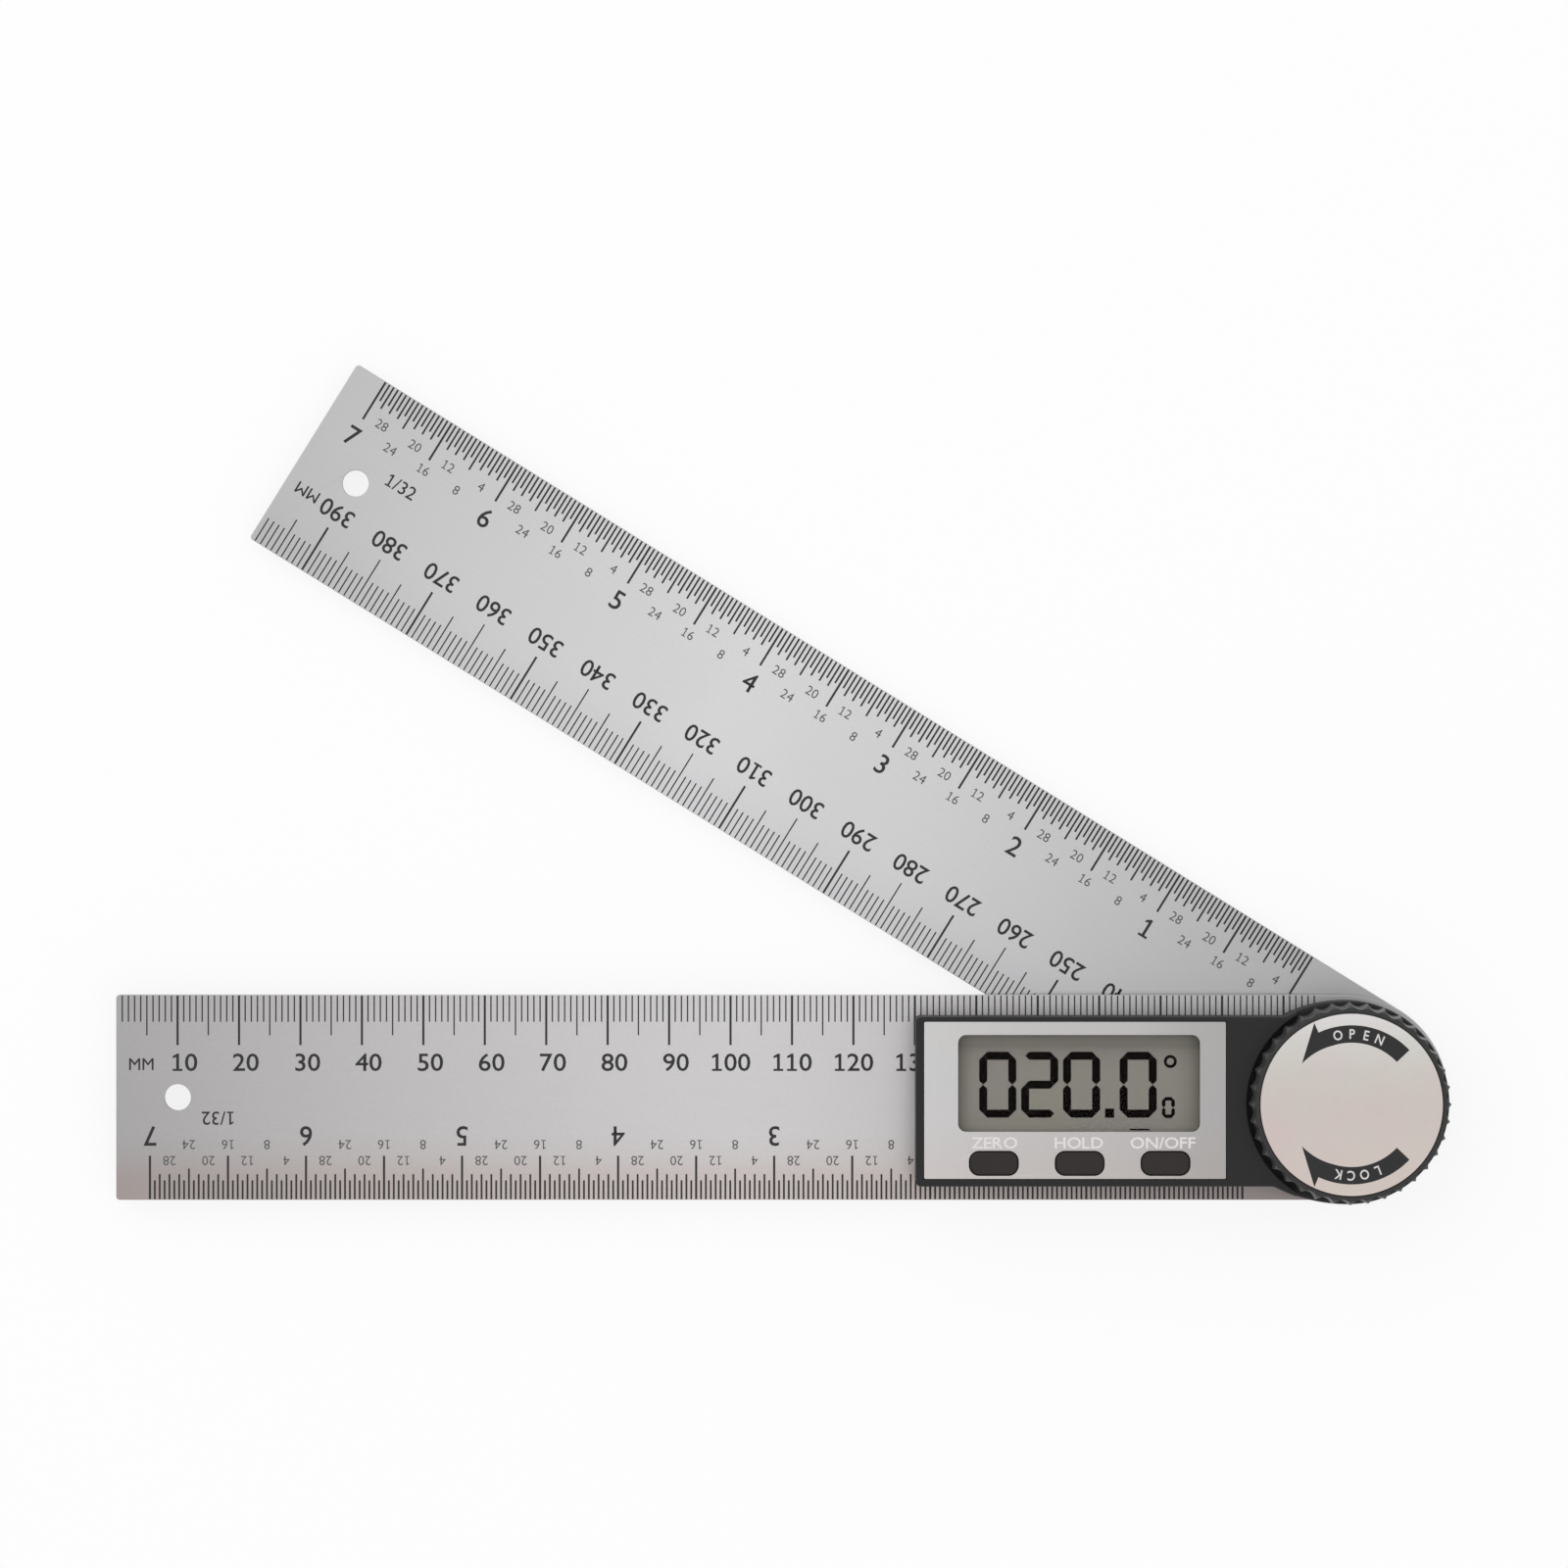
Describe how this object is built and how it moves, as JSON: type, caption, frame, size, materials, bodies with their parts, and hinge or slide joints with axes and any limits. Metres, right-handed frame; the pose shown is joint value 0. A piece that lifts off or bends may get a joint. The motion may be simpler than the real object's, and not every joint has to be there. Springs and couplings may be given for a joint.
{
  "type": "digital angle finder",
  "caption": "Digital angle finder: steel rules hinged on a clamped pivot, with a display housing, function keys, a ridged lock knob and a coin-cell cover at the back.",
  "frame": {"origin": "on the pivot axis, in the flat back face of the rear cap, which is what the tool lies on", "axes": "+X away from the fixed rule's tip along its length, +Y across the fixed rule towards the side that the moving rule stands open on, +Z out of the display"},
  "size_m": [0.217, 0.1362, 0.0163],
  "materials": {
    "rule_steel": "fine brushed stainless steel",
    "bright_steel": "bright turned steel",
    "brass": "machined brass",
    "black_plastic": "fine spark-textured black moulding",
    "face_silver": "satin silver plate",
    "knob_silver": "satin silver disc",
    "lens_clear": "clear window",
    "display_grey": "reflective grey liquid-crystal display",
    "board_green": "solder-masked board",
    "epoxy_black": "poured epoxy",
    "strip_pink": "layered silicone rubber",
    "nylon_white": "plain nylon",
    "key_rubber": "matt moulded key"
  },
  "bodies": {
    "fixed_assembly": {"fixed_rule": "rule_steel", "housing": "black_plastic", "inner_tray": "black_plastic", "face_plate": "face_silver", "display_lens": "lens_clear", "lcd_glass": "display_grey", "main_board": "board_green", "controller_chip": "epoxy_black", "zebra_strip_upper": "strip_pink", "zebra_strip_lower": "strip_pink", "friction_washer": "nylon_white", "wave_washer": "bright_steel", "contact_dome_zero": "bright_steel", "contact_dome_hold": "bright_steel", "contact_dome_power": "bright_steel", "battery": "bright_steel", "battery_front_contact": "brass", "battery_side_contact": "brass", "case_screw_1": "bright_steel", "case_screw_2": "bright_steel", "case_screw_3": "bright_steel", "case_screw_4": "bright_steel"},
    "moving_arm": {"moving_rule": "rule_steel", "rear_cap": "black_plastic", "pivot_hub": "brass", "rotor_disc": "board_green", "clamp_bolt": "bright_steel", "retaining_clip": "bright_steel", "hub_screw_1": "bright_steel", "hub_screw_2": "bright_steel", "hub_screw_3": "bright_steel"},
    "clamp_washer": {"thrust_washer": "bright_steel"},
    "lock_knob": {"knob": "black_plastic", "knob_face": "knob_silver", "knob_nut": "brass"},
    "zero_key": {"button_zero": "key_rubber"},
    "hold_key": {"button_hold": "key_rubber"},
    "power_key": {"button_power": "key_rubber"},
    "battery_door": {"battery_cover": "black_plastic"}
  },
  "joints": [
    {"name": "arm_pivot", "type": "hinge", "parent": "fixed_assembly", "child": "moving_arm", "pos_m": [0, 0, 0], "axis": [0, 0, -1], "continuous": true},
    {"name": "knob_rise", "type": "slide", "parent": "fixed_assembly", "child": "clamp_washer", "axis": [0, 0, 1], "range_m": [0, 0.0004], "deforming": ["wave_washer"]},
    {"name": "knob_turn", "type": "hinge", "parent": "clamp_washer", "child": "lock_knob", "pos_m": [0, 0, 0.0115], "axis": [0, 0, 1], "range_deg": [0, 180]},
    {"name": "zero_press", "type": "slide", "parent": "fixed_assembly", "child": "zero_key", "axis": [0, 0, -1], "range_m": [0, 0.0006], "stiffness_N_per_m": 400, "springref_m": -0.0005},
    {"name": "hold_press", "type": "slide", "parent": "fixed_assembly", "child": "hold_key", "axis": [0, 0, -1], "range_m": [0, 0.0006], "stiffness_N_per_m": 400, "springref_m": -0.0005},
    {"name": "power_press", "type": "slide", "parent": "fixed_assembly", "child": "power_key", "axis": [0, 0, -1], "range_m": [0, 0.0006], "stiffness_N_per_m": 400, "springref_m": -0.0005},
    {"name": "battery_cover_turn", "type": "hinge", "parent": "fixed_assembly", "child": "battery_door", "pos_m": [-0.0437, 0.00055, 0.004], "axis": [0, 0, -1], "range_deg": [0, 40]}
  ],
  "couplings": [
    {"joint": "knob_rise", "follows": "knob_turn", "m_per_rad": 0.0001273}
  ]
}
